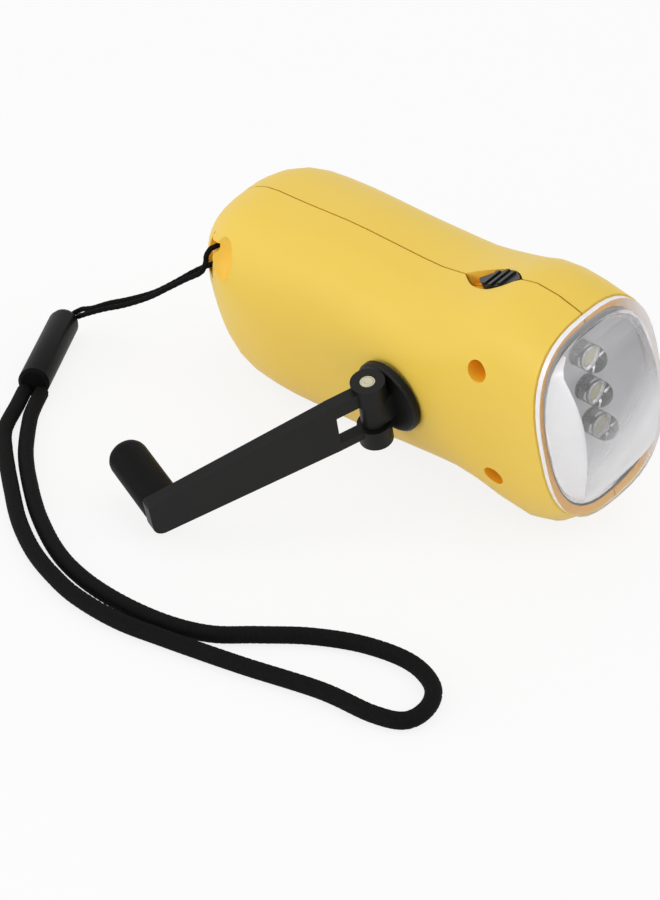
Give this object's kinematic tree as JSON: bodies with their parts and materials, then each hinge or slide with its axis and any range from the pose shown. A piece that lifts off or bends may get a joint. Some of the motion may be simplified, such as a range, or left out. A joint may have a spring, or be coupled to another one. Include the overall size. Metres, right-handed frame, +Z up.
{
  "type": "hand crank flashlight",
  "caption": "Palm-sized plastic torch with a folding side crank, a clear faceted lens over a silver bowl, a slide switch on its top seam, a far-side solar window and a wrist strap.",
  "frame": {"origin": "centre of the flat rest land under the tail bulb, on the ground that the torch lies on", "axes": "+X along the torch from tail to lens, +Z up as it lies, leaning 20 degrees over its crank side; the crank is on the -Y side"},
  "size_m": [0.1458, 0.1095, 0.0513],
  "materials": {
    "orange_plastic": "satin moulded orange",
    "black_plastic": "fine satin",
    "clear_plastic": "clear, polished",
    "chromed_plastic": "vacuum metallised mirror",
    "lamp_resin": "clear resin",
    "bright_steel": "bright",
    "gear_plastic": "natural white",
    "plate_plastic": "grey",
    "magnet": "dark sintered",
    "copper_winding": "enamelled copper",
    "circuit_board": "green solder mask",
    "cell_steel": "nickel plated",
    "shrink_sleeve": "green film",
    "solar_cell": "dark blue cell",
    "solar_window": "clear acrylic",
    "braided_cord": "black braid"
  },
  "bodies": {
    "torch": {"crank_side_shell": "orange_plastic", "solar_side_shell": "orange_plastic", "lens_cover": "clear_plastic", "reflector": "chromed_plastic", "led_1": "lamp_resin", "led_2": "lamp_resin", "led_3": "lamp_resin", "led_board": "circuit_board", "switch_body": "bright_steel", "main_circuit_board": "circuit_board", "gear_axle_1": "bright_steel", "gear_axle_2": "bright_steel", "stator_core": "bright_steel", "stator_coil": "copper_winding", "gearbox_plate": "plate_plastic", "plate_screw_1": "bright_steel", "plate_screw_2": "bright_steel", "plate_screw_3": "bright_steel", "case_screw_1": "bright_steel", "case_screw_2": "bright_steel", "battery_cell_1": "cell_steel", "battery_cell_2": "cell_steel", "battery_cell_3": "cell_steel", "battery_sleeve": "shrink_sleeve", "solar_cell_panel": "solar_cell", "solar_window": "solar_window", "strap_string": "braided_cord", "wrist_loop": "braided_cord", "cord_sleeve": "black_plastic"},
    "crank": {"crank_hub": "black_plastic", "drive_gear": "gear_plastic", "hub_screw": "bright_steel"},
    "arm": {"crank_arm": "black_plastic", "hinge_pin": "bright_steel"},
    "knob": {"crank_knob": "black_plastic"},
    "gear_1": {"compound_gear_1": "gear_plastic"},
    "gear_2": {"compound_gear_2": "gear_plastic"},
    "rotor": {"rotor_axle": "bright_steel", "rotor_pinion": "gear_plastic", "magnet_rotor": "magnet"},
    "switch": {"switch_knob": "black_plastic"}
  },
  "joints": [
    {"name": "crank_spin", "type": "hinge", "parent": "torch", "child": "crank", "pos_m": [0.0373, -0.01852, 0.01949], "axis": [0, 0.9397, 0.342], "continuous": true},
    {"name": "arm_fold", "type": "hinge", "parent": "crank", "child": "arm", "pos_m": [0.0373, -0.02181, 0.01829], "axis": [0.0946, -0.3405, 0.9355], "range_deg": [-52, 105]},
    {"name": "knob_spin", "type": "hinge", "parent": "arm", "child": "knob", "pos_m": [0.02513, -0.05989, 0.00566], "axis": [0.962, -0.2103, -0.1739], "continuous": true},
    {"name": "gear_1_spin", "type": "hinge", "parent": "torch", "child": "gear_1", "pos_m": [0.02378, -0.00657, 0.01998], "axis": [0, 0.9397, 0.342], "continuous": true},
    {"name": "gear_2_spin", "type": "hinge", "parent": "torch", "child": "gear_2", "pos_m": [0.01097, -0.00452, 0.02313], "axis": [0, 0.9397, 0.342], "continuous": true},
    {"name": "rotor_spin", "type": "hinge", "parent": "torch", "child": "rotor", "pos_m": [0.00083, -0.00359, 0.02057], "axis": [0, 0.9397, 0.342], "continuous": true},
    {"name": "switch_slide", "type": "slide", "parent": "torch", "child": "switch", "axis": [0.9153, -0.1378, 0.3785], "range_m": [-0.003, 0]}
  ],
  "couplings": [
    {"joint": "gear_1_spin", "follows": "crank_spin", "ratio": -3.6667},
    {"joint": "gear_2_spin", "follows": "crank_spin", "ratio": 12.222},
    {"joint": "rotor_spin", "follows": "crank_spin", "ratio": -30.556}
  ]
}
